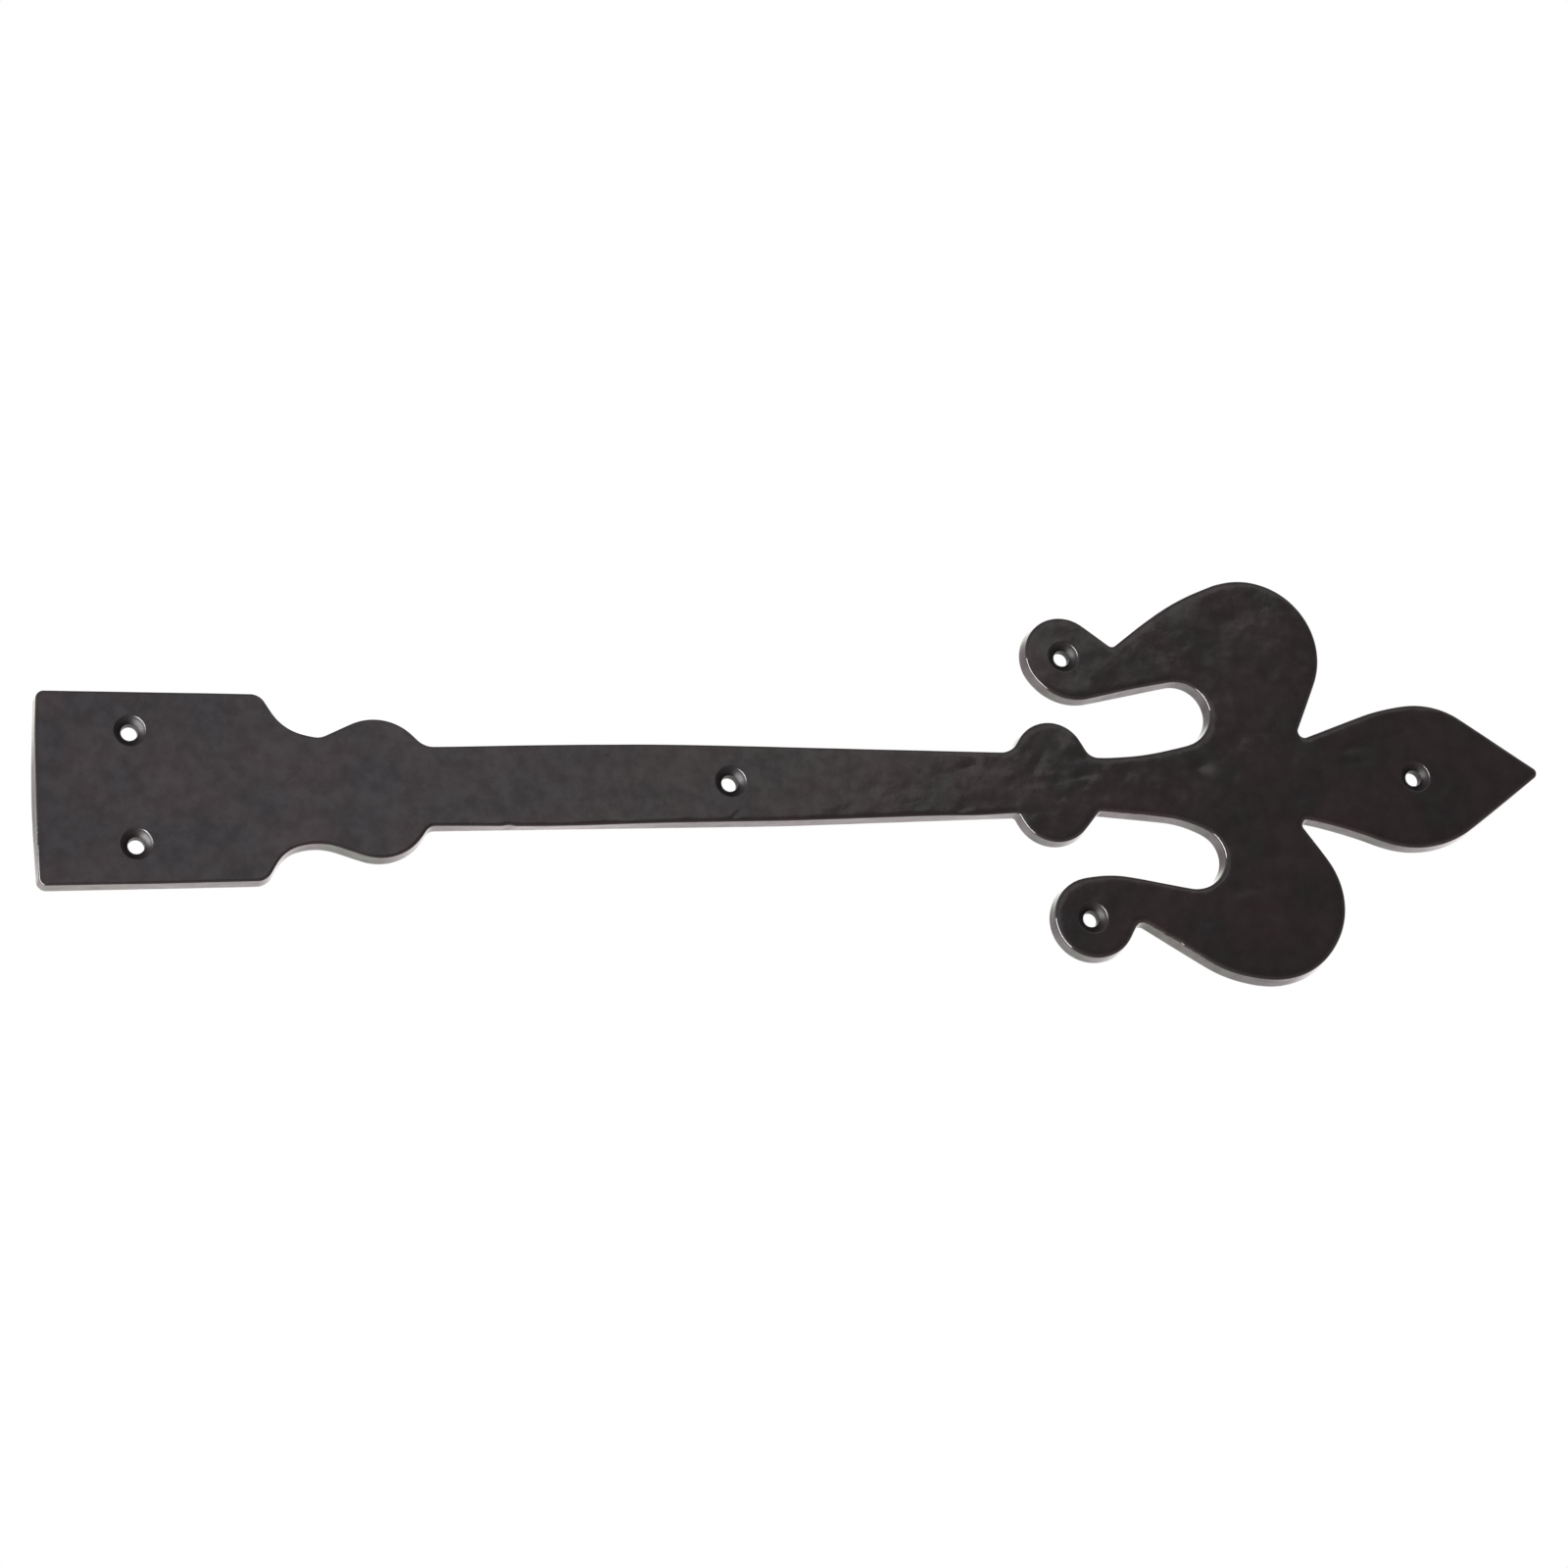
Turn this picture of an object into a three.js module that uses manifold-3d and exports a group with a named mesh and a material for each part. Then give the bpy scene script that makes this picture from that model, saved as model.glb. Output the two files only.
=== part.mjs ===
// A false strap hinge: one flat casting with a square tail, a tapered strap and a
// fleur-de-lis head, drilled and countersunk for six screws. Millimetres.
//
// +X runs along the strap to its tip, +Z is up the door, and +Y points into the door.
// The back face lies on y = 0, and the origin is on it, halfway along the strap.

import * as THREE from 'three';
import { mergeVertices } from 'three/addons/utils/BufferGeometryUtils.js';
import Module from 'manifold-3d';

const wasm = await Module();
wasm.setup();

const THICKNESS = 5.5;
const DRAFT = 0.4; // how much further out the wall stands at the back than at the front
const EDGE_RADIUS = 1; // the front edge, rounded all the way round
const EDGE_STEPS = 3;
const ARC_STEP = THREE.MathUtils.degToRad(10); // the most that a curve turns at one point
const CHORD = 15; // the longest straight step on a curve

const BORE_RADIUS = 2.4;
const SINK_RADIUS = 4.5; // at the front face, from where it narrows at 45 degrees
const HOLE_SIDES = 32;
const OVERCUT = 1; // how far each cutter runs past the face that it cuts

// The back face's outline is a belt pulled tight round these circles. Where r is negative
// the circle lies outside the iron, and the belt turns the other way round it. The pattern
// was cut by hand, so the two sides are a little unlike. Each side runs from tail to tip.
const TAIL = { name: 'bowed tail', x: 105, z: -2, r: 330 };
const UPPER = [
  { name: 'tail corner', x: -221.1, z: 26.9, r: 2.8 },
  { name: 'shoulder', x: -163.4, z: 23.3, r: 5.2 },
  { name: 'cove', x: -145, z: 29.8, r: -14 },
  { name: 'neck', x: -144.6, z: 20.5, r: -5 },
  { name: 'bulb', x: -128.6, z: 5, r: 15.8 },
  { name: 'strap root', x: -111.4, z: 18.5, r: -6 },
  { name: 'strap edge', x: -53.5, z: -796.9, r: 809.8 },
  { name: 'strap end', x: 56.7, z: 15.6, r: -5.7 },
  { name: 'collar', x: 71.8, z: 7.9, r: 11.2 },
  { name: 'stem root', x: 86.7, z: 12.2, r: -4 },
  { name: 'stem', x: 90.5, z: 88.3, r: -80.1 },
  { name: 'bay', x: 112.3, z: 21.1, r: -9.5 },
  { name: 'scroll throat', x: 82.3, z: 41.7, r: 16.6 },
  { name: 'scroll', x: 78.1, z: 39.6, r: 12 },
  { name: 'notch', x: 94, z: 43.9, r: -1.2 },
  { name: 'lobe back', x: 147.4, z: -4.7, r: 69.6 },
  { name: 'lobe', x: 135.6, z: 39.9, r: 23.5 },
  { name: 'armpit', x: 151.8, z: 15.6, r: -1.5 },
  { name: 'leaf back', x: 188.2, z: -29.6, r: 53.4 },
  { name: 'leaf belly', x: 187.5, z: -1.5, r: 25.6 },
];
const TIP = { name: 'tip', x: 222.7, z: 2, r: 2.3 };
const LOWER = [
  { name: 'tail corner', x: -221.5, z: -25.1, r: 2.8 },
  { name: 'shoulder', x: -163.3, z: -22.1, r: 5.3 },
  { name: 'cove', x: -148.4, z: -27.2, r: -10.1 },
  { name: 'neck', x: -146.1, z: -34, r: -17.2 },
  { name: 'bulb', x: -128.1, z: -6.2, r: 15.1 },
  { name: 'strap root', x: -112, z: -14.7, r: -3 },
  { name: 'strap edge', x: -22.1, z: 801.5, r: 812.8 },
  { name: 'strap end', x: 59.5, z: -10.7, r: -1.2 },
  { name: 'collar', x: 72.1, z: -6.5, r: 12 },
  { name: 'stem root', x: 86.1, z: -10.4, r: -1.2 },
  { name: 'stem', x: 102.5, z: -40.6, r: -29.5 },
  { name: 'bay', x: 113.2, z: -23.2, r: -9.1 },
  { name: 'scroll throat', x: 86.3, z: -63.8, r: 36.1 },
  { name: 'scroll', x: 80.9, z: -41, r: 12.7 },
  { name: 'notch', x: 95.4, z: -45.2, r: -2 },
  { name: 'lobe back', x: 135.1, z: -23.9, r: 37.7 },
  { name: 'lobe', x: 134.9, z: -37.4, r: 24.4 },
  { name: 'armpit', x: 149.8, z: -13.6, r: -1.3 },
  { name: 'leaf hollow', x: 140.2, z: -81.5, r: -69.7 },
  { name: 'leaf belly', x: 183.9, z: 9.8, r: 31.3 },
];

const SCREW_HOLES = [
  { name: 'upper tail', x: -197.45, z: 17.25 },
  { name: 'lower tail', x: -196.5, z: -15.8 },
  { name: 'strap', x: -25.35, z: 1 },
  { name: 'upper scroll', x: 78.4, z: 38.9 },
  { name: 'lower scroll', x: 80.1, z: -41.1 },
  { name: 'leaf', x: 185.3, z: 1 },
];

// The whole round of circles, clockwise as seen from the front.
const CIRCLES = [TAIL, ...UPPER, TIP, ...LOWER.toReversed()];

// The heading of the straight stretch of belt from one circle to the next.
function heading(from, to) {
  const across = to.x - from.x;
  const up = to.z - from.z;
  return Math.atan2(up, across) - Math.asin((from.r - to.r) / Math.hypot(across, up));
}

// The belt's stretch on one circle, let out by grow all round.
function arcPoints(circle, headingIn, headingOut, grow) {
  const convex = circle.r > 0;
  const toRim = convex ? Math.PI / 2 : -Math.PI / 2;
  const bend = convex ? headingIn - headingOut : headingOut - headingIn;
  const turn = THREE.MathUtils.euclideanModulo(bend, 2 * Math.PI);
  const steps = Math.ceil(Math.max(turn / ARC_STEP, (turn * Math.abs(circle.r)) / CHORD));
  const radius = Math.abs(circle.r + grow);
  const start = headingIn + toRim;
  const end = headingOut + toRim;
  const arc = new THREE.EllipseCurve(circle.x, circle.z, radius, radius, start, end, convex);
  return arc.getPoints(steps);
}

// The outline as a ring of points, counter-clockwise as seen from the front.
function outline(grow) {
  const next = (i) => CIRCLES[(i + 1) % CIRCLES.length];
  const headings = CIRCLES.map((circle, i) => heading(circle, next(i)));
  const arcs = CIRCLES.map((circle, i) => arcPoints(circle, headings.at(i - 1), headings[i], grow));
  return arcs.flat().reverse();
}

// Each level of the casting, from the back face to the front: how far it stands out
// from the door, and how far the outline has grown there, which is never outwards.
function levels() {
  const rounded = [];
  for (let i = 0; i <= EDGE_STEPS; i += 1) {
    const angle = (i / EDGE_STEPS) * (Math.PI / 2);
    rounded.push({
      out: THICKNESS - EDGE_RADIUS * (1 - Math.sin(angle)),
      grow: -DRAFT - EDGE_RADIUS * (1 - Math.cos(angle)),
    });
  }
  return [{ out: 0, grow: 0 }, ...rounded];
}

// A closed skin over the levels' outlines, which all have the same number of points.
function loft() {
  const rings = levels().map(({ out, grow }) => ({ out, points: outline(grow) }));
  const count = rings[0].points.length;
  const position = rings.flatMap(({ out, points }) => points.flatMap((p) => [p.x, -out, p.y]));
  const index = [];
  for (let ring = 0; ring < rings.length - 1; ring += 1) {
    for (let i = 0; i < count; i += 1) {
      const a = ring * count + i;
      const b = ring * count + ((i + 1) % count);
      index.push(a, b, a + count);
      index.push(b, b + count, a + count);
    }
  }
  const front = (rings.length - 1) * count;
  for (const [a, b, c] of THREE.ShapeUtils.triangulateShape(rings.at(-1).points, [])) {
    index.push(front + a, front + b, front + c);
  }
  for (const [a, b, c] of THREE.ShapeUtils.triangulateShape(rings[0].points, [])) {
    index.push(a, c, b);
  }
  const geometry = new THREE.BufferGeometry();
  geometry.setAttribute('position', new THREE.Float32BufferAttribute(position, 3));
  geometry.setIndex(index);
  return geometry;
}

// What a drill and a countersink take out for one screw.
function screwCutter({ x, z }) {
  const length = THICKNESS + 2 * OVERCUT;
  const bore = new THREE.CylinderGeometry(BORE_RADIUS, BORE_RADIUS, length, HOLE_SIDES);
  bore.translate(x, -THICKNESS / 2, z);
  const mouth = SINK_RADIUS + OVERCUT;
  const depth = mouth - BORE_RADIUS;
  const sink = new THREE.CylinderGeometry(BORE_RADIUS, mouth, depth, HOLE_SIDES);
  sink.translate(x, -THICKNESS - OVERCUT + depth / 2, z);
  return toSolid(bore).add(toSolid(sink));
}

function toSolid(geometry) {
  const bare = geometry.clone();
  bare.deleteAttribute('normal');
  bare.deleteAttribute('uv');
  const merged = mergeVertices(bare);
  const mesh = new wasm.Mesh({
    numProp: 3,
    vertProperties: merged.attributes.position.array,
    triVerts: Uint32Array.from(merged.index.array),
  });
  mesh.merge();
  return new wasm.Manifold(mesh);
}

function toGeometry(solid) {
  const mesh = solid.getMesh();
  const geometry = new THREE.BufferGeometry();
  geometry.setAttribute('position', new THREE.BufferAttribute(mesh.vertProperties, 3));
  geometry.setIndex(new THREE.BufferAttribute(mesh.triVerts, 1));
  geometry.computeVertexNormals();
  return geometry;
}

function hingeStrap() {
  let casting = toSolid(loft());
  for (const hole of SCREW_HOLES) {
    casting = casting.subtract(screwCutter(hole));
  }
  const blackPaint = new THREE.MeshStandardMaterial({
    color: 0x1d1b1c,
    roughness: 0.45,
    metalness: 0,
    flatShading: true,
  });
  const mesh = new THREE.Mesh(toGeometry(casting), blackPaint);
  mesh.name = 'hinge_strap';
  return mesh;
}

const model = new THREE.Group();
model.add(hingeStrap());

export default model;
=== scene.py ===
"""A false strap hinge: one iron casting in satin black paint, with a square tail, a
tapered strap and a fleur-de-lis head. The CAD solid gives the outline, the thickness and
the screw holes. The casting is built again round them as a fine mesh, with rounded edges,
a softly uneven face and sand-cast sides.

Lengths are millimetres up to make_object() and metres after it. Points are (x, z), as seen
from the front, and "out" is how far one stands out from the back face, to the viewer."""

import math

import bmesh
import bpy
import numpy as np
from mathutils import Matrix, Vector, kdtree, noise
from mathutils.geometry import delaunay_2d_cdt


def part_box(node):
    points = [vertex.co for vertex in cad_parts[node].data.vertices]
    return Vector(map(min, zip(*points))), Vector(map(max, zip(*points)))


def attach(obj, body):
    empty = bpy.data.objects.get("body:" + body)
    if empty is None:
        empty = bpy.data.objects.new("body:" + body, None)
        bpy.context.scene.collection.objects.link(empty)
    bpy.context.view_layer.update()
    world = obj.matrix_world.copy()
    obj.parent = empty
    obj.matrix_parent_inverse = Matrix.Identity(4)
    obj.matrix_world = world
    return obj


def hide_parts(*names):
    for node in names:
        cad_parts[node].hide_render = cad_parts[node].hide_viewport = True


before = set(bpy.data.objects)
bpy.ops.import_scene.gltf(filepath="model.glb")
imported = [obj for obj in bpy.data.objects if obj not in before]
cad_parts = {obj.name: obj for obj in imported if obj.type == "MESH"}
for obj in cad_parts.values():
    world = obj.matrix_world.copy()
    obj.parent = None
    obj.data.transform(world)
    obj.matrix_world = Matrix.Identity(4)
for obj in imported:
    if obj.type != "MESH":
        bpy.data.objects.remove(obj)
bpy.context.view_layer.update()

NODE = "hinge_strap"
MM = 0.001

# Reading the CAD solid
SAME_PLACE = 1e-6  # metres
FLAT = 0.999  # the least that a flat face's normal has along Y
ON_BORE = 1.01  # a point this many bore radii from the axis is still on the bore

# The outline
CURVE_STEPS = 40  # close points on each stretch of the smooth outline
FINE_STEP = 0.05
POINT_STEP = 0.7  # the longest step between points round the side
POINT_TURN = math.radians(6)  # the most that the side turns from point to point
DENSITY_BLUR = 1.0
TANGENT_BLUR = 0.3

# The section through the side, from the back face to the front
BACK_RADIUS = 0.35
BACK_STEPS = 3
DRAFT = 0.4  # how much further out the side stands at the back than at the front
SIDE_STEPS = 8
EDGE_STEPS = 8
STRAP_EDGE = {"radius": 0.55, "shoulder": 0.9, "drop": 0.03}
HEAD_EDGE = {"radius": 1.05, "shoulder": 1.3, "drop": 0.035}
EDGE_CHANGE = 0.18  # the share by which the edge's sizes come and go
EDGE_CHANGE_SIZE = 13
HEAD_STARTS, HEAD_FULL = 45, 78
TAIL_END = 2.5  # how much of the tail's end has a straight front edge
TAIL_BULGE = 0.5  # how far the side bulges out behind it
TAIL_BLEND = 0.3

# Where the side leans otherwise: x, z, reach, and how much more its top stands in
LEANS = [
    (-190, -28, 12, -0.10),
    (-134, -20, 16, 0.25),
    (-78, -13, 24, -0.55),
    (-91, -12.5, 1.3, 0.55),
    (48, -10, 8, -0.30),
    (97, -10, 12, 0.15),
    (121, -22, 8, 0.20),
    (121, 22, 8, 0.20),
    (98, 28, 12, 0.35),
    (67, 40, 9, 0.25),
    (80, -53, 9, 0.10),
    (106, -51, 10, 0.20),
    (133, -61, 14, 0.55),
    (152, -52, 8, 0.20),
]
# Sand-cast roughness of the side: height, size along X, Y and Z, and noise shift
SIDE_WAVES = [
    (0.05, (5, 3, 5), 4.4),
    (0.025, (1.6, 3.5, 1.6), 8.8),
]
# Where the front edge is ragged: x, z, reach, and how far it strays
RAGGED = [
    (107, -50, 9, 0.45),
    (118, 24, 8, 0.12),
    (120, -20, 8, 0.10),
    (96, -10, 8, 0.14),
    (-140, -17, 6, 0.12),
]
RAGGED_WAVES = [(1.0, 2.2, 6.1), (0.6, 0.9, 2.7)]  # height, size and noise shift
FULL_GRIT = 0.4  # an edge that strays this far is as sandy as the side
GRIT_FADES = 2.5  # elsewhere the sand is gone 1 / GRIT_FADES of the way round the edge

# The flat faces
FACE_STEP = 0.7
FACE_BANDS = (0.4, 0.9, 1.5, 2.2)
BACK_STEP = 2.2
BACK_BANDS = (0.8, 2.0)
CROWDED = 0.55  # a point goes if another stands nearer than this share of the step
BAND_SLACK = 0.97  # how much of its distance from the border a band has to keep
MERGE = 1e-7
BACK_HOLLOW = 0.05  # the mean depth and the height of the waves of the back
BACK_WAVE = 6

# The screw holes
HOLE_SIDES = 72
RIM_RADIUS = 0.14
RIM_TURN = math.radians(65)
RIM_STEPS = 3
THROAT_RADIUS = 0.12
CONE_STEPS = 8
DISHING = 1.3  # 1 for a straight cone, and more for one that is steeper at its throat
BORE_STEPS = 3
RIM_WOBBLE = 0.08
WOBBLE_SIZE = 0.9  # where the hole's radius is 1
THROAT_OUT, THROAT_DOWN = 0.03, 0.02  # the rounded step from the cone to the bore
BORE_STARTS = 0.25  # below the throat
EXIT_RADIUS = 0.2

# How thin the paint is and how sandy the iron is
FACE_MARKS = (0.0, 0.0)
SIDE_MARKS = (0.0, 1.0)
BACK_MARKS = (0.0, 1.0)
BACK_EDGE_MARKS = (0.3, 1.0)
RIM_MARKS = (0.4, 1.1)
CONE_MARKS = (0.0, 2.45)
THROAT_MARKS = (0.5, 0.2)
BORE_MARKS = (0.0, 3.0)
EXIT_MARKS = (0.4, 1.0)

# Waves in the front face: size along X and Z, noise shift, height, and how much more the
# height is on the strap, on the head, and where the iron was worked round the stem
FACE_HOLLOW = 0.16
FACE_WAVES = [
    (24, 24, 3.1, 0.045, 0, -0.015, 0),
    (10, 8, 7.7, 0, 0.03, 0, 0),
    (5.2, 4.0, 1.3, 0.017, 0, 0.003, 0.012),
    (2.4, 2.0, 8.3, 0.006, 0, 0.002, 0.006),
    (9, 9, 5.9, 0, 0, 0, 0.02),
]
STRAP_STARTS, STRAP_FULL = -190, -120
TAIL_SHARE = 0.35  # of the strap's waves that the tail has
WORKED_X, WORKED_LENGTH, WORKED_WIDTH = 96, 46, 17
DENT_DEPTH = 0.42

# Dents in the face: x, z, half length, half width, lean in degrees, depth
DENTS = [
    (67.3, 5.5, 4.6, 1.6, 62, 0.07),
    (46.0, 4.9, 2.2, 1.2, 5, 0.16),
    (80.8, 2.1, 2.6, 0.9, 5, 0.12),
    (95.4, 3.8, 3.0, 2.0, 30, 0.12),
    (43.1, -8.1, 2.2, 0.8, 12, 0.10),
    (118.5, 5.2, 2.8, 2.2, 20, 0.22),
    (130.5, 12.8, 3.2, 2.4, 60, 0.12),
    (133.8, 51.0, 5.0, 2.6, 20, 0.10),
    (146.4, 8.6, 3.0, 3.0, 0, 0.12),
    (127.6, -33.4, 5.5, 1.9, 0, 0.16),
    (141.9, -11.7, 3.0, 2.0, 0, 0.12),
    (166.8, 10.2, 4.6, 1.5, 3, 0.16),
    (167.5, 5.7, 3.2, 1.3, 0, 0.14),
    (-10.3, 2.2, 2.8, 2.2, 0, 0.09),
    (-0.3, -1.8, 2.4, 2.0, 0, 0.08),
    (-24.8, -9.2, 2.4, 0.8, 40, 0.09),
    (-61.1, 8.7, 3.0, 0.7, 14, 0.10),
    (-144.2, 7.0, 1.6, 0.8, 45, 0.08),
    (-132.0, -6.6, 3.0, 2.2, 30, 0.10),
    (-203.2, 6.6, 4.0, 9.0, 20, 0.10),
    (-211.1, -13.4, 1.6, 0.9, 70, 0.06),
    (-204.7, -8.1, 1.6, 1.2, 60, 0.06),
]


# ---------------------------------------------------------------- the CAD solid


def flat_rings(bm, y, facing):
    """The closed rings of points round the solid's flat face at that y, the longest first."""
    flat = {
        f for f in bm.faces
        if f.normal.y * facing > FLAT and abs(f.verts[0].co.y - y) < SAME_PLACE
    }
    border = [e for e in bm.edges if sum(f in flat for f in e.link_faces) == 1]
    unused = set(border)
    rings = []
    for first in border:
        if first not in unused:
            continue
        unused.discard(first)
        ring = [first.verts[0]]
        at = first.verts[1]
        while at is not ring[0]:
            ring.append(at)
            edge = next(e for e in at.link_edges if e in unused)
            unused.discard(edge)
            at = edge.other_vert(at)
        rings.append(np.array([(v.co.x, v.co.z) for v in ring]) / MM)
    return sorted(rings, key=lambda ring: -abs(area(ring)))


def area(ring):
    """Above zero for a ring that runs counter-clockwise."""
    after = np.roll(ring, -1, 0)
    return float(np.sum(ring[:, 0] * after[:, 1] - ring[:, 1] * after[:, 0])) / 2


def read_solid(node):
    """The CAD solid's thickness, back outline and screw holes, in millimetres."""
    bm = bmesh.new()
    bm.from_mesh(node.data)
    bmesh.ops.remove_doubles(bm, verts=bm.verts, dist=SAME_PLACE)
    lowest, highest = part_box(node.name)
    outline, *bores = flat_rings(bm, highest.y, 1)
    rims = flat_rings(bm, lowest.y, -1)[1:]
    points = np.array([v.co for v in bm.verts]) / MM
    bm.free()
    holes = [read_hole(bore, rims, points) for bore in bores]
    if area(outline) < 0:
        outline = outline[::-1]
    return (highest.y - lowest.y) / MM, outline, holes


def read_hole(bore, rims, points):
    """One screw hole's centre, its bore's and rim's radius, and where its cone ends."""
    centre = bore.mean(0)
    rim = min(rims, key=lambda ring: np.hypot(*(ring.mean(0) - centre)))
    bore_radius = np.hypot(*(bore - centre).T).mean()
    from_axis = np.hypot(*(points[:, [0, 2]] - centre).T)
    out = -points[from_axis < bore_radius * ON_BORE, 1]
    return {
        "centre": centre,
        "bore": bore_radius,
        "rim": np.hypot(*(rim - centre).T).mean(),
        "throat": out.max(),
    }


# ------------------------------------------------------------------ the outline


def walk(curve, share):
    """The points where a closed curve's running total of share passes each whole number."""
    total = np.concatenate([[0], np.cumsum(share)])
    count = int(round(total[-1]))
    stops = np.arange(count) * total[-1] / count
    closed = np.vstack([curve, curve[:1]])
    return np.column_stack([np.interp(stops, total, closed[:, k]) for k in (0, 1)])


def blur(values, reach):
    """Values round a ring of FINE_STEP steps, each the mean of its neighbours within reach."""
    half = int(3 * reach / FINE_STEP)
    weight = np.exp(-0.5 * (np.arange(-half, half + 1) * FINE_STEP / reach) ** 2)
    padded = np.concatenate([values[-half:], values, values[:half]])
    return np.convolve(padded, weight / weight.sum(), "valid")


def steps_of(curve):
    return np.roll(curve, -1, 0) - curve


def smooth_outline(ring):
    """Points round a smooth curve that touches the middle of each of the ring's edges, and
    the outward direction at each. They stand closer where the curve turns."""
    before = (ring + np.roll(ring, 1, 0)) / 2
    after = (ring + np.roll(ring, -1, 0)) / 2
    t = (np.arange(CURVE_STEPS) / CURVE_STEPS)[None, :, None]
    start, middle, end = before[:, None], ring[:, None], after[:, None]
    curve = (1 - t) ** 2 * start + 2 * t * (1 - t) * middle + t**2 * end
    curve = curve.reshape(-1, 2)
    fine = walk(curve, np.hypot(*steps_of(curve).T) / FINE_STEP)
    along = np.column_stack([blur(step, TANGENT_BLUR) for step in steps_of(fine).T])
    heading = np.arctan2(along[:, 1], along[:, 0])
    turn = np.abs((np.roll(heading, -1) - heading + math.pi) % (2 * math.pi) - math.pi)
    share = blur(np.maximum(FINE_STEP / POINT_STEP, turn / POINT_TURN), DENSITY_BLUR)
    points = walk(fine, share)
    directions = walk(np.column_stack([along[:, 1], -along[:, 0]]), share)
    return points, directions / np.hypot(*directions.T)[:, None]


# ------------------------------------------------------- unevenness of the iron


def smoothstep(low, high, value):
    t = np.clip((value - low) / (high - low), 0, 1)
    return t * t * (3 - 2 * t)


def waves(points, size, shift=0.0):
    """Smooth noise from about -1 to 1 at each point, with hills of about that size."""
    size = np.broadcast_to(size, points.shape[1:])
    places = np.pad(points / size, ((0, 0), (0, 3 - points.shape[1]))) + shift
    return np.array([noise.noise(place) for place in places])


def head_share(points):
    """0 on the tail and the strap, 1 on the head."""
    return smoothstep(HEAD_STARTS, HEAD_FULL, points[:, 0])


def face_hollow(points):
    """How far the front face lies below its highest level: broad waves everywhere, stronger
    and closer ones round the collar and the stem, and the dents."""
    x, z = points.T
    worked = np.exp(-(((x - WORKED_X) / WORKED_LENGTH) ** 2) - (z / WORKED_WIDTH) ** 2)
    strap = TAIL_SHARE + (1 - TAIL_SHARE) * smoothstep(STRAP_STARTS, STRAP_FULL, x)
    head = head_share(points)
    hollow = np.full(len(points), FACE_HOLLOW)
    for size_x, size_z, shift, height, on_strap, on_head, on_worked in FACE_WAVES:
        height = height + on_strap * strap + on_head * head + on_worked * worked
        hollow += height * waves(points, (size_x, size_z), shift)
    for dent_x, dent_z, length, width, lean, depth in DENTS:
        angle = math.radians(lean)
        along = (x - dent_x) * math.cos(angle) + (z - dent_z) * math.sin(angle)
        across = (z - dent_z) * math.cos(angle) - (x - dent_x) * math.sin(angle)
        hollow += DENT_DEPTH * depth * np.exp(-((along / length) ** 2) - (across / width) ** 2)
    return np.maximum(hollow, 0)


def edge_value(points, key):
    """A size of the front edge, between the strap's and the head's."""
    share = head_share(points)
    value = STRAP_EDGE[key] * (1 - share) + HEAD_EDGE[key] * share
    return value * (1 + EDGE_CHANGE * waves(points, EDGE_CHANGE_SIZE, 2.2))


# ------------------------------------------------------------------- the skin


class Skin:
    """The casting's points and faces as they are made. thin says how thin the paint is at
    a point, as on a rounded edge, and raw how sandy the iron under it is."""

    def __init__(self):
        self.points = np.zeros((0, 3))
        self.thin = np.zeros(0)
        self.raw = np.zeros(0)
        self.faces = []

    def add(self, points, out, thin=0.0, raw=0.0):
        """Adds a row of points and returns their numbers."""
        start = len(self.points)
        count = len(points)
        out = np.broadcast_to(out, count)
        placed = np.column_stack([points[:, 0], -out, points[:, 1]])
        self.points = np.vstack([self.points, placed])
        self.thin = np.concatenate([self.thin, np.broadcast_to(thin, count)])
        self.raw = np.concatenate([self.raw, np.broadcast_to(raw, count)])
        return np.arange(start, start + count)

    def band(self, ring, after):
        """Faces between two rings of as many points."""
        corners = (ring, np.roll(ring, -1), np.roll(after, -1), after)
        self.faces += np.column_stack(corners).tolist()

    def flat_points(self, numbers):
        return self.points[numbers][:, [0, 2]]


def build_side(skin, outline, outward, thickness):
    """The side of the casting, ring by ring. Returns the ring on the back face and the ring
    where the rounded front edge meets the front face."""
    rings = []
    for i in range(BACK_STEPS + 1):
        angle = i / BACK_STEPS * math.pi / 2
        inset = BACK_RADIUS * (1 - math.sin(angle))
        out = BACK_RADIUS * (1 - math.cos(angle))
        rings.append(skin.add(outline - outward * inset, out, *BACK_EDGE_MARKS))
    radius = edge_value(outline, "radius")
    slope = np.arctan(2 * edge_value(outline, "drop") / edge_value(outline, "shoulder"))
    inset = DRAFT + tail_inset(outline) + bells(outline, LEANS) + ragged(outline)
    front_line = outline - outward * inset[:, None]
    front_end = front_line - outward * (radius * (1 - np.sin(slope)))[:, None]
    top = thickness - edge_value(outline, "drop") - face_hollow(front_end)
    shoulder = top - radius * np.cos(slope)
    for i in range(1, SIDE_STEPS + 1):
        share = i / SIDE_STEPS
        out = BACK_RADIUS + (shoulder - BACK_RADIUS) * share
        level = outline + (front_line - outline) * share
        bump = side_bump(level, out) * math.sin(math.pi * share) ** 0.5
        rings.append(skin.add(level + outward * bump[:, None], out, *SIDE_MARKS))
    for i in range(1, EDGE_STEPS + 1):
        angle = (math.pi / 2 - slope) * i / EDGE_STEPS
        inset = radius * (1 - np.cos(angle))
        out = shoulder + radius * np.sin(angle)
        thin = math.sin(math.pi * i / (EDGE_STEPS + 1))
        least = max(0, 1 - GRIT_FADES * i / EDGE_STEPS)
        raw = np.clip(bells(outline, RAGGED) / FULL_GRIT, least, 1)
        rings.append(skin.add(front_line - outward * inset[:, None], out, thin, raw))
    for ring, after in zip(rings, rings[1:]):
        skin.band(ring, after)
    return rings[0], rings[-1]


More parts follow.
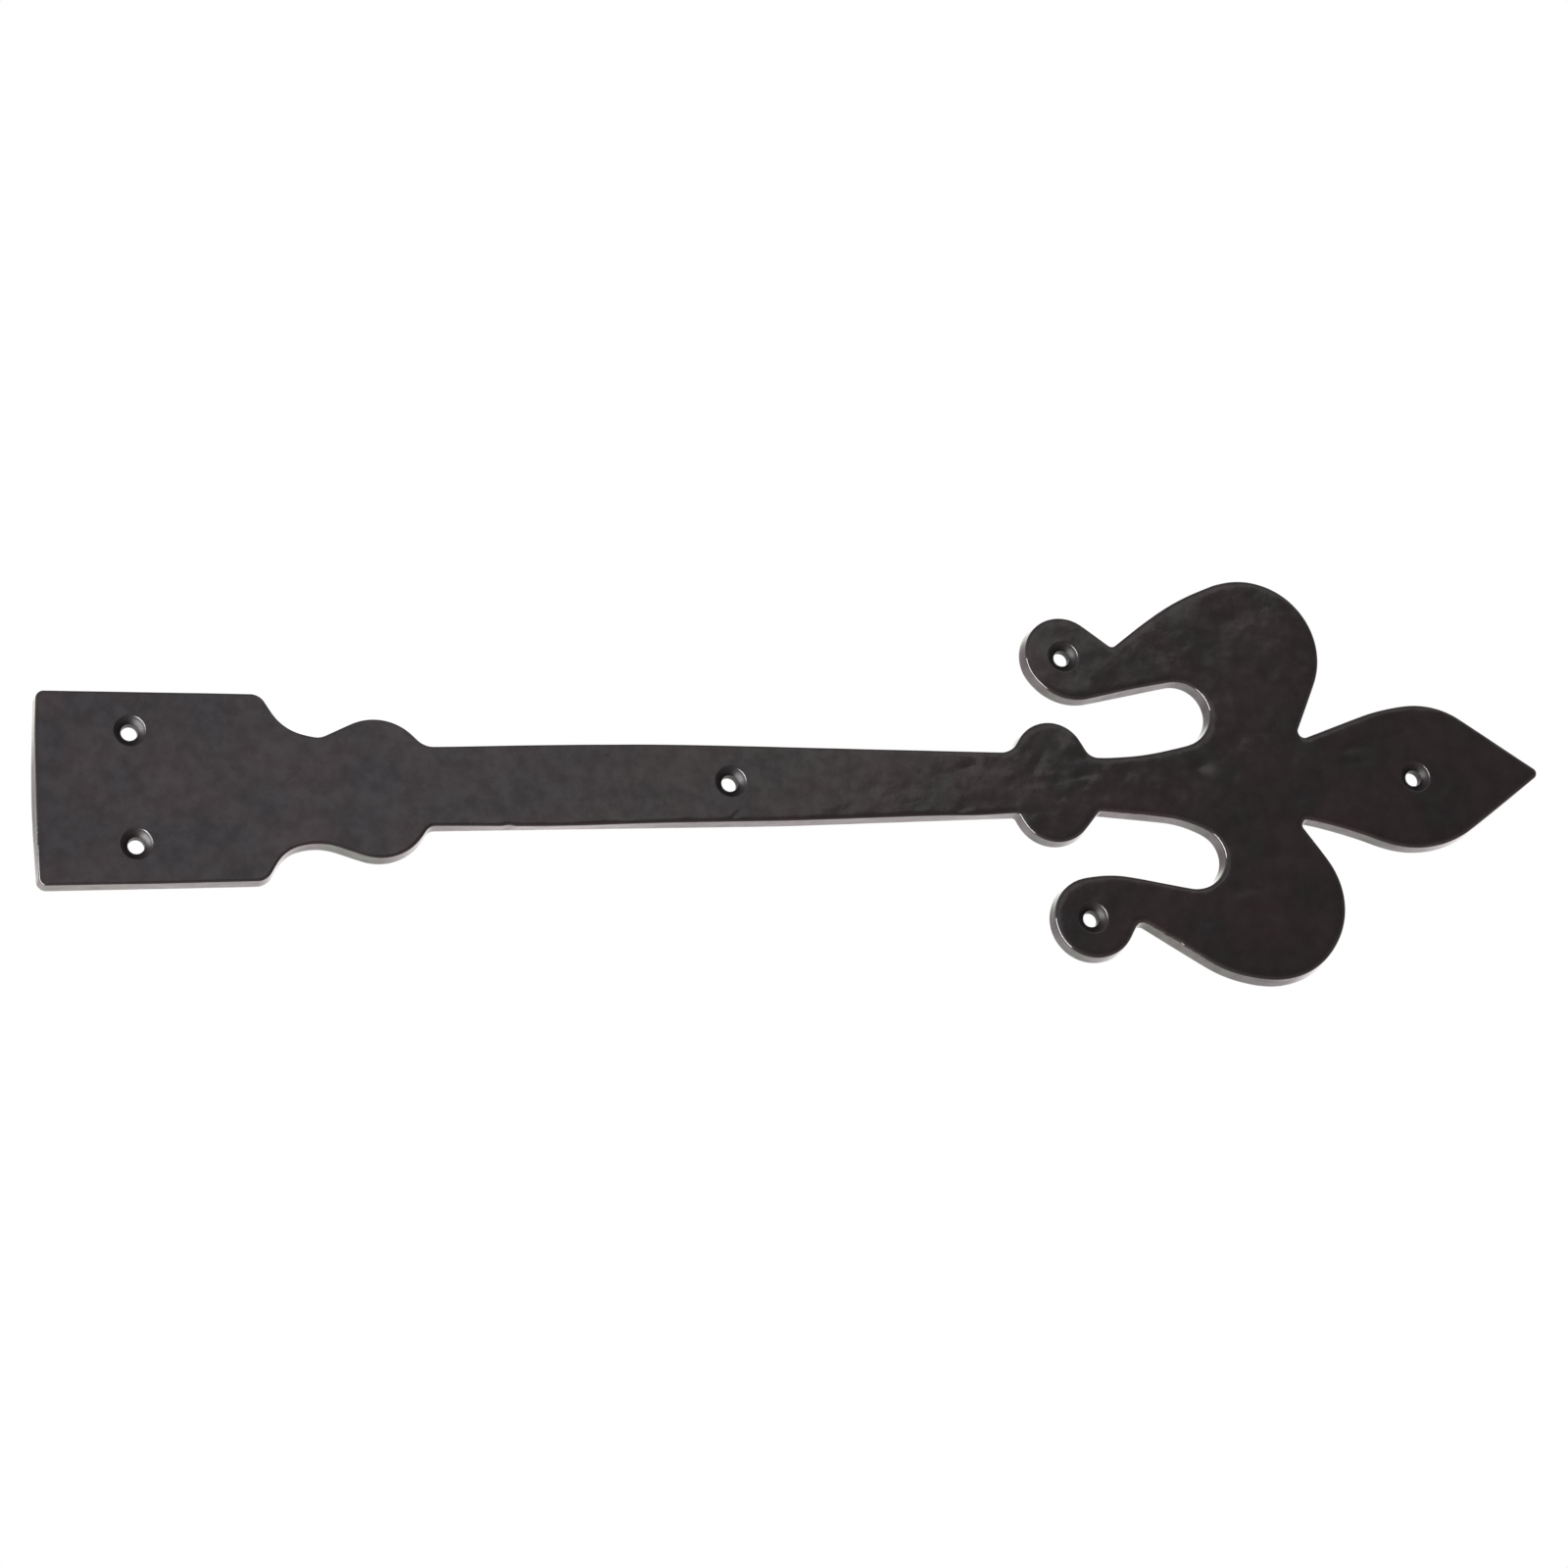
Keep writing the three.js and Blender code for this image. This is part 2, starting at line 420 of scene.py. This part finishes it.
def bells(points, places):
    """The sum of bell-shaped hills on the plane, from their x, z, reach and height."""
    total = np.zeros(len(points))
    for x, z, reach, height in places:
        total += height * np.exp(-np.sum((points - (x, z)) ** 2, 1) / reach**2)
    return total


def ragged(outline):
    """How far the front edge strays where it wasn't dressed after casting."""
    stray = sum(height * waves(outline, size, shift) for height, size, shift in RAGGED_WAVES)
    return bells(outline, RAGGED) * stray


def tail_inset(outline):
    """The tail's side bulges at the back, while its front edge is straight."""
    from_end = outline[:, 0] - outline[:, 0].min()
    past = TAIL_BULGE - from_end
    return np.where(from_end < TAIL_END, (past + np.hypot(past, TAIL_BLEND)) / 2, 0)


def side_bump(level, out):
    """Sand-cast roughness of the side, in and out along its outward direction."""
    places = np.column_stack([level[:, 0], out, level[:, 1]])
    return sum(height * waves(places, size, shift) for height, size, shift in SIDE_WAVES)


def build_hole(skin, hole, thickness, seed):
    """A drilled and countersunk screw hole. Returns the ring on the front face and the ring
    on the back face."""
    turn = np.arange(HOLE_SIDES) * 2 * math.pi / HOLE_SIDES
    spokes = np.column_stack([np.cos(turn), np.sin(turn)])
    mouth = hole["centre"] + spokes * (hole["rim"] + RIM_RADIUS)
    face = thickness - face_hollow(mouth)
    wobble = RIM_WOBBLE * waves(spokes, WOBBLE_SIZE, seed)
    throat = thickness - hole["throat"]
    # Each step of the profile: radius, how far below the face, and marks
    profile = []
    for i in range(RIM_STEPS + 1):
        angle = RIM_TURN * i / RIM_STEPS
        radius = hole["rim"] + RIM_RADIUS * (1 - math.sin(angle))
        profile.append((radius, RIM_RADIUS * (1 - math.cos(angle)), RIM_MARKS))
    cone_top, cone_foot = hole["rim"] - RIM_RADIUS, hole["bore"] + THROAT_RADIUS
    lip, foot = 2 * RIM_RADIUS, throat - THROAT_RADIUS
    for i in range(CONE_STEPS + 1):
        share = i / CONE_STEPS
        radius = cone_top + (cone_foot - cone_top) * share
        profile.append((radius, lip + (foot - lip) * share**DISHING, CONE_MARKS))
    profile.append((hole["bore"] + THROAT_OUT, throat + THROAT_DOWN, THROAT_MARKS))
    profile.append((hole["bore"], throat + BORE_STARTS, BORE_MARKS))
    rings = []
    for radius, depth, marks in profile:
        share = min(depth / throat, 1)
        ring = hole["centre"] + spokes * (radius + wobble * (1 - share))[:, None]
        out = face - depth + (thickness - face) * share
        rings.append(skin.add(ring, out, *marks))
    start = thickness - throat - BORE_STARTS
    for i in range(1, BORE_STEPS + 1):
        out = start + (EXIT_RADIUS - start) * i / BORE_STEPS
        rings.append(skin.add(hole["centre"] + spokes * hole["bore"], out, *BORE_MARKS))
    exit_ring = hole["centre"] + spokes * (hole["bore"] + EXIT_RADIUS)
    rings.append(skin.add(exit_ring, 0.0, *EXIT_MARKS))
    for ring, after in zip(rings, rings[1:]):
        skin.band(ring, after)
    return rings[0], rings[-1]


def grown_tree(points):
    tree = kdtree.KDTree(len(points))
    for i, (x, z) in enumerate(points):
        tree.insert((x, z, 0), i)
    tree.balance()
    return tree


def nearest(tree, points):
    """The number of the tree's nearest point, and how far off it is, for each point."""
    found = [tree.find((x, z, 0)) for x, z in points]
    return np.array([number for _, number, _ in found]), np.array([far for _, _, far in found])


def thinned(points, gaps):
    """The points without those that crowd an earlier one."""
    cell = max(gaps)
    kept, grid = [], {}
    for number, ((x, z), gap) in enumerate(zip(points.tolist(), gaps)):
        column, row = int(x // cell), int(z // cell)
        near = [
            other
            for i in (column - 1, column, column + 1)
            for j in (row - 1, row, row + 1)
            for other in grid.get((i, j), ())
        ]
        if all((x - a) ** 2 + (z - b) ** 2 >= gap * gap for a, b in near):
            kept.append(number)
            grid.setdefault((column, row), []).append((x, z))
    return points[kept]


def inner_points(border, outward, step, bands):
    """Points that fill the inside of a border: in bands along it, then on a triangle grid."""
    tree = grown_tree(border)
    rows, gaps = [], []
    for far in bands:
        row = border - outward * far
        rows.append(row)
        gaps += [CROWDED * min(step, far)] * len(row)
    low, high = border.min(0), border.max(0)
    columns = np.arange(low[0], high[0], step)
    levels = np.arange(low[1], high[1], step * math.sqrt(0.75))
    x, z = np.meshgrid(columns, levels)
    x = x + (np.arange(len(levels)) % 2)[:, None] * step / 2
    grid = np.column_stack([x.ravel(), z.ravel()])
    rows.append(grid)
    gaps += [CROWDED * step] * len(grid)
    points = np.vstack(rows)
    number, far = nearest(tree, points)
    in_bands = np.repeat([BAND_SLACK * band for band in bands], len(border))
    least = np.concatenate([in_bands, np.full(len(grid), bands[-1])])
    inside = np.sum((points - border[number]) * outward[number], 1) < 0
    keep = inside & (far >= least)
    return thinned(points[keep], list(np.array(gaps)[keep]))


def fill(skin, rings, outwards, step, bands, height, marks, facing_back=False):
    """Fills the flat inside of the rings with triangles. height gives how far out each of
    the new points stands."""
    border = np.vstack([skin.flat_points(ring) for ring in rings])
    inner = inner_points(border, np.vstack(outwards), step, bands)
    new = skin.add(inner, height(inner), *marks)
    numbers = np.concatenate([*rings, new])
    edges, owner, start = [], np.full(len(numbers), -1), 0
    for which, ring in enumerate(rings):
        count = len(ring)
        edges += [(start + i, start + (i + 1) % count) for i in range(count)]
        owner[start:start + count] = which
        start += count
    flat = [Vector(p) for p in np.vstack([border, inner])]
    inside_only = 1
    _, _, faces, origins, _, _ = delaunay_2d_cdt(flat, edges, [], inside_only, MERGE)
    for face in faces:
        corners = [origins[i][0] for i in face]
        hole = {int(owner[i]) for i in corners}
        if len(hole) > 1 or hole <= {-1, 0}:
            corners = [int(numbers[i]) for i in corners]
            skin.faces.append(corners[::-1] if facing_back else corners)


def front_height(thickness, front, border_outline):
    """How far out the front face stands: hollowed, and rounded off towards the side."""
    tree = grown_tree(front)
    drop = edge_value(border_outline, "drop")
    shoulder = edge_value(border_outline, "shoulder")

    def height(points):
        number, far = nearest(tree, points)
        share = np.clip(1 - far / shoulder[number], 0, 1)
        return thickness - face_hollow(points) - drop[number] * share**2

    return height


def back_height(points):
    """The back is a flat sand-cast face."""
    return BACK_HOLLOW + BACK_HOLLOW * waves(points, BACK_WAVE, 9.4)


def hole_outward(skin, ring):
    """Out of the iron, at a hole's ring, is towards the middle of the hole."""
    points = skin.flat_points(ring)
    inwards = points.mean(0) - points
    return inwards / np.hypot(*inwards.T)[:, None]


def build_skin(node):
    thickness, ring, holes = read_solid(node)
    outline, outward = smooth_outline(ring)
    skin = Skin()
    back, front = build_side(skin, outline, outward, thickness)
    ends = [build_hole(skin, hole, thickness, seed) for seed, hole in enumerate(holes)]
    mouths = [mouth for mouth, _ in ends]
    exits = [end for _, end in ends]
    front_rings = [front, *mouths]
    height = front_height(thickness, skin.flat_points(front), outline)
    outwards = [outward, *(hole_outward(skin, m) for m in mouths)]
    fill(skin, front_rings, outwards, FACE_STEP, FACE_BANDS, height, FACE_MARKS)
    outwards = [outward, *(hole_outward(skin, e) for e in exits)]
    back_rings = [back, *exits]
    fill(skin, back_rings, outwards, BACK_STEP, BACK_BANDS, back_height, BACK_MARKS, True)
    return skin


def make_object(skin, name):
    mesh = bpy.data.meshes.new(name)
    mesh.from_pydata((skin.points * MM).tolist(), [], skin.faces)
    for key, values in (("thin", skin.thin), ("raw", skin.raw)):
        layer = mesh.attributes.new(key, "FLOAT", "POINT")
        layer.data.foreach_set("value", values.astype(np.float32))
    mesh.validate()
    mesh.shade_smooth()
    piece = bpy.data.objects.new(name, mesh)
    bpy.context.scene.collection.objects.link(piece)
    return piece


# --------------------------------------------------------------- the black paint


class Nodes:
    """A short way to write a node tree."""

    def __init__(self, tree):
        self.tree = tree
        tree.nodes.clear()

    def feed(self, socket, value):
        """Links an output to the socket, or sets a plain value on it."""
        if isinstance(value, bpy.types.NodeSocket):
            self.tree.links.new(value, socket)
        else:
            socket.default_value = value

    def new(self, kind, settings=None, **sockets):
        node = self.tree.nodes.new(kind)
        for key, value in (settings or {}).items():
            setattr(node, key, value)
        for key, value in sockets.items():
            self.feed(node.inputs[key.replace("_", " ")], value)
        return node

    def noise(self, where, size, detail=2.0, rough=0.5):
        """Noise from 0 to 1 with patches of that size, in metres."""
        kind = "ShaderNodeTexNoise"
        node = self.new(kind, Vector=where, Scale=1 / size, Detail=detail, Roughness=rough)
        return node.outputs["Fac"]

    def span(self, value, low, high, to_low, to_high):
        """A smooth step from to_low to to_high as the value goes from low to high."""
        settings = {"interpolation_type": "SMOOTHSTEP"}
        node = self.new("ShaderNodeMapRange", settings, Value=value)
        node.inputs["From Min"].default_value = low
        node.inputs["From Max"].default_value = high
        node.inputs["To Min"].default_value = to_low
        node.inputs["To Max"].default_value = to_high
        return node.outputs["Result"]

    def maths(self, operation, first, second=0.0):
        node = self.new("ShaderNodeMath", {"operation": operation})
        self.feed(node.inputs[0], first)
        self.feed(node.inputs[1], second)
        return node.outputs[0]

    def mix(self, factor, first, second):
        """A mix of two colours, whose sockets share their names with other kinds."""
        node = self.new("ShaderNodeMix", {"data_type": "RGBA"})
        self.feed(node.inputs[0], factor)
        self.feed(node.inputs[6], first)
        self.feed(node.inputs[7], second)
        return node.outputs[2]

    def mark(self, name):
        return self.new("ShaderNodeAttribute", {"attribute_name": name}).outputs["Fac"]


# Base colours
DARK_CLOUD = (0.0096, 0.0078, 0.0082, 1)
LIGHT_CLOUD = (0.0136, 0.0088, 0.0088, 1)
SPECK = (0.022, 0.017, 0.017, 1)
WORN = (0.024, 0.020, 0.019, 1)

# Sizes of the paint's patches and of its relief, in metres
CLOUD_SIZE = 0.016
SPECK_SIZE = 0.0011
GLOSS_SIZE = 0.009
FILM_SIZE = 0.0045
PEEL_SIZE, PEEL_DEPTH = 0.0026, 0.000012
GRAIN_SIZE, GRAIN_DEPTH = 0.0007, 0.00003

SPECK_SHARE = 0.25
WORN_SHARE = 0.35
GLOSS = (0.07, 0.11)  # the roughness, from the shiniest patches to the dullest
THIN_GLOSS = 0.03  # how much less rough thin paint is
RAW_GLOSS = 0.14  # how much rougher paint on sandy iron is
FILM = (0.37, 0.63)  # the strength of the shine, from patch to patch
BARE_FILM = 0.3  # the share of it that is left in a drilled hole
GRAIN = (0.15, 0.75)  # the grain's strength, on the face and on sandy iron
PAINT_IOR = 1.5


def black_paint():
    """Satin black paint: faint cloudy patches, thinner and shinier on the edges, grainy
    where it lies on sand-cast iron."""
    material = bpy.data.materials.new("black_paint")
    material.use_nodes = True
    n = Nodes(material.node_tree)
    where = n.new("ShaderNodeTexCoord").outputs["Object"]
    thin = n.mark("thin")
    raw = n.mark("raw")

    clouds = n.span(n.noise(where, CLOUD_SIZE, 3.0), 0.35, 0.65, 0, 1)
    specks = n.span(n.noise(where, SPECK_SIZE), 0.62, 0.75, 0, SPECK_SHARE)
    colour = n.mix(clouds, DARK_CLOUD, LIGHT_CLOUD)
    colour = n.mix(specks, colour, SPECK)
    colour = n.mix(n.maths("MULTIPLY", thin, WORN_SHARE), colour, WORN)

    gloss = n.span(n.noise(where, GLOSS_SIZE, 3.0), 0.3, 0.7, *GLOSS)
    gloss = n.maths("SUBTRACT", gloss, n.maths("MULTIPLY", thin, THIN_GLOSS))
    gloss = n.maths("ADD", gloss, n.maths("MULTIPLY", raw, RAW_GLOSS))

    film = n.span(n.noise(where, FILM_SIZE, 5.0, 0.68), 0.3, 0.7, *FILM)
    film = n.maths("MULTIPLY", film, n.span(raw, 1.5, 3.0, 1.0, BARE_FILM))

    peel = n.noise(where, PEEL_SIZE)
    peel = n.new("ShaderNodeBump", Strength=1.0, Distance=PEEL_DEPTH, Height=peel)
    bump = n.new(
        "ShaderNodeBump",
        Strength=n.span(raw, 0.0, 1.0, *GRAIN),
        Distance=GRAIN_DEPTH,
        Height=n.noise(where, GRAIN_SIZE, 2.0, 0.6),
        Normal=peel.outputs["Normal"],
    )

    shader = n.new(
        "ShaderNodeBsdfPrincipled",
        Base_Color=colour,
        Roughness=gloss,
        Specular_IOR_Level=film,
        IOR=PAINT_IOR,
        Normal=bump.outputs["Normal"],
    )
    n.new("ShaderNodeOutputMaterial", Surface=shader.outputs["BSDF"])
    return material


# ----------------------------------------------------------------- the studio

AIM = Vector((-0.0097, -0.0053, 0.00018))  # where the camera looks, on the front face
CAMERA_AZIMUTH = math.radians(13.9)
CAMERA_RISE = math.radians(15.7)  # the camera looks up this much
CAMERA_DISTANCE = 1.2682
CAMERA_ROLL = math.radians(-4.26)
CAMERA_LENS = 100.42
SENSOR = 36

SCREEN_SIDE = (-0.631, 0.035, 0.775)  # square to the screen's edge, towards the screen
SCREEN_LIGHT = 0.66
SCREEN_LEFT = 0.15  # the share of its light at its left end
SCREEN_TOP = 0.3  # the share of its light at its top
BELOW_SCREEN = (0.14, 0.28)  # from further below it to just below it
RIGHT_LIGHT = 0.3
BEHIND_LIGHT = (0.6, 1.8)  # where the wall behind is dimmest and brightest
COOL, WARM = (0.96, 0.98, 1.07, 1), (1.02, 0.99, 0.96, 1)
GREEN, PINK = (0.97, 1.0, 0.93, 1), (1.05, 0.97, 0.98, 1)
GREEN_ASIDE = -0.12
WHITE = (1, 1, 1, 1)

KEY_TOWARDS = (-0.86, -0.27, -0.36)
KEY_DISTANCE = 1.2
KEY_SIDES = (0.48, 1.6)
KEY_POWER = 70

FLOOR_LEVEL = -1.2
FLOOR_SIDE = 14
FLOOR_COLOUR = (0.85, 0.85, 0.85, 1)
FLOOR_ROUGHNESS = 0.9


def make_camera():
    level = math.cos(CAMERA_RISE)
    across = math.sin(CAMERA_AZIMUTH) * level
    along = math.cos(CAMERA_AZIMUTH) * level
    ahead = Vector((across, along, math.sin(CAMERA_RISE)))
    data = bpy.data.cameras.new("camera")
    data.lens = CAMERA_LENS
    data.sensor_width = SENSOR
    camera = bpy.data.objects.new("camera", data)
    camera.location = AIM - ahead * CAMERA_DISTANCE
    turn = ahead.to_track_quat("-Z", "Y").to_matrix()
    camera.rotation_euler = (turn @ Matrix.Rotation(CAMERA_ROLL, 3, "Z")).to_euler()
    bpy.context.scene.collection.objects.link(camera)
    bpy.context.scene.camera = camera


def make_world():
    """A soft studio. A big pale screen stands over the camera's left, and its straight edge
    is mirrored across the collar, so the head is darker than the strap. The screen fades to
    the left and upwards. It is dim in front below, a little light at the far right, and
    bright behind. The camera itself sees plain white."""
    world = bpy.data.worlds.new("studio")
    world.use_nodes = True
    bpy.context.scene.world = world
    n = Nodes(world.node_tree)
    direction = n.new("ShaderNodeTexCoord").outputs["Generated"]

    def towards(axis):
        """1 straight along the axis, 0 square to it and -1 straight away from it."""
        node = n.new("ShaderNodeVectorMath", {"operation": "DOT_PRODUCT"})
        n.feed(node.inputs[0], direction)
        n.feed(node.inputs[1], Vector(axis).normalized())
        return node.outputs["Value"]

    into_screen = towards(SCREEN_SIDE)
    aside = towards((1, 0, 0))
    back = towards((0, 1, 0))
    up = towards((0, 0, 1))

    screen = n.span(into_screen, 0.000, 0.011, 0, SCREEN_LIGHT)
    screen = n.maths("MULTIPLY", screen, n.span(aside, -0.20, 0.22, SCREEN_LEFT, 1))
    screen = n.maths("MULTIPLY", screen, n.span(up, 0.38, 0.60, 1, SCREEN_TOP))
    screen = n.maths("ADD", screen, n.span(into_screen, -0.12, 0.0, *BELOW_SCREEN))
    screen = n.maths("ADD", screen, n.span(aside, 0.36, 0.60, 0, RIGHT_LIGHT))

    dim, bright = BEHIND_LIGHT
    glow_below = n.span(up, -0.4, 0.1, bright, dim)
    glow_right = n.span(aside, -0.37, -0.20, dim, bright)
    behind = n.span(back, 0.1, 0.7, 0, 1)
    glow = n.maths("MULTIPLY", behind, n.maths("MAXIMUM", glow_below, glow_right))

    screen_tint = n.mix(n.span(aside, 0.05, 0.30, 0, 1), COOL, WARM)
    from_green = n.maths("ABSOLUTE", n.maths("SUBTRACT", aside, GREEN_ASIDE))
    glow_tint = n.mix(n.span(from_green, 0.12, 0.26, 0, 1), GREEN, PINK)
    tint = n.mix(behind, screen_tint, glow_tint)

    seen = n.new("ShaderNodeLightPath").outputs["Is Camera Ray"]
    strength = n.new("ShaderNodeMix", {"data_type": "FLOAT"})
    n.feed(strength.inputs[0], seen)
    n.feed(strength.inputs[2], n.maths("ADD", screen, glow))
    n.feed(strength.inputs[3], 1.0)
    light = n.new(
        "ShaderNodeBackground", Color=n.mix(seen, tint, WHITE), Strength=strength.outputs[0]
    )
    n.new("ShaderNodeOutputWorld", Surface=light.outputs[0])


def make_light(name, towards, distance, sides, power):
    data = bpy.data.lights.new(name, "AREA")
    data.shape = "RECTANGLE"
    data.size, data.size_y = sides
    data.energy = power
    light = bpy.data.objects.new(name, data)
    light.location = Vector(towards).normalized() * distance
    light.rotation_euler = (-light.location).to_track_quat("-Z", "Y").to_euler()
    light.visible_camera = False
    bpy.context.scene.collection.objects.link(light)


def make_floor():
    mesh = bpy.data.meshes.new("floor")
    half = FLOOR_SIDE / 2
    corners = [(-half, -half), (half, -half), (half, half), (-half, half)]
    mesh.from_pydata([(x, y, FLOOR_LEVEL) for x, y in corners], [], [(0, 1, 2, 3)])
    floor = bpy.data.objects.new("floor", mesh)
    material = bpy.data.materials.new("pale_floor")
    material.use_nodes = True
    shader = material.node_tree.nodes["Principled BSDF"]
    shader.inputs["Base Color"].default_value = FLOOR_COLOUR
    shader.inputs["Roughness"].default_value = FLOOR_ROUGHNESS
    mesh.materials.append(material)
    floor.visible_glossy = False
    bpy.context.scene.collection.objects.link(floor)


casting = make_object(build_skin(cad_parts[NODE]), "hinge_casting")
casting.data.materials.append(black_paint())
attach(casting, "root")
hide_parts(NODE)

make_camera()
make_world()
make_light("key", KEY_TOWARDS, KEY_DISTANCE, KEY_SIDES, KEY_POWER)
make_floor()
bpy.context.scene.view_settings.view_transform = "Standard"
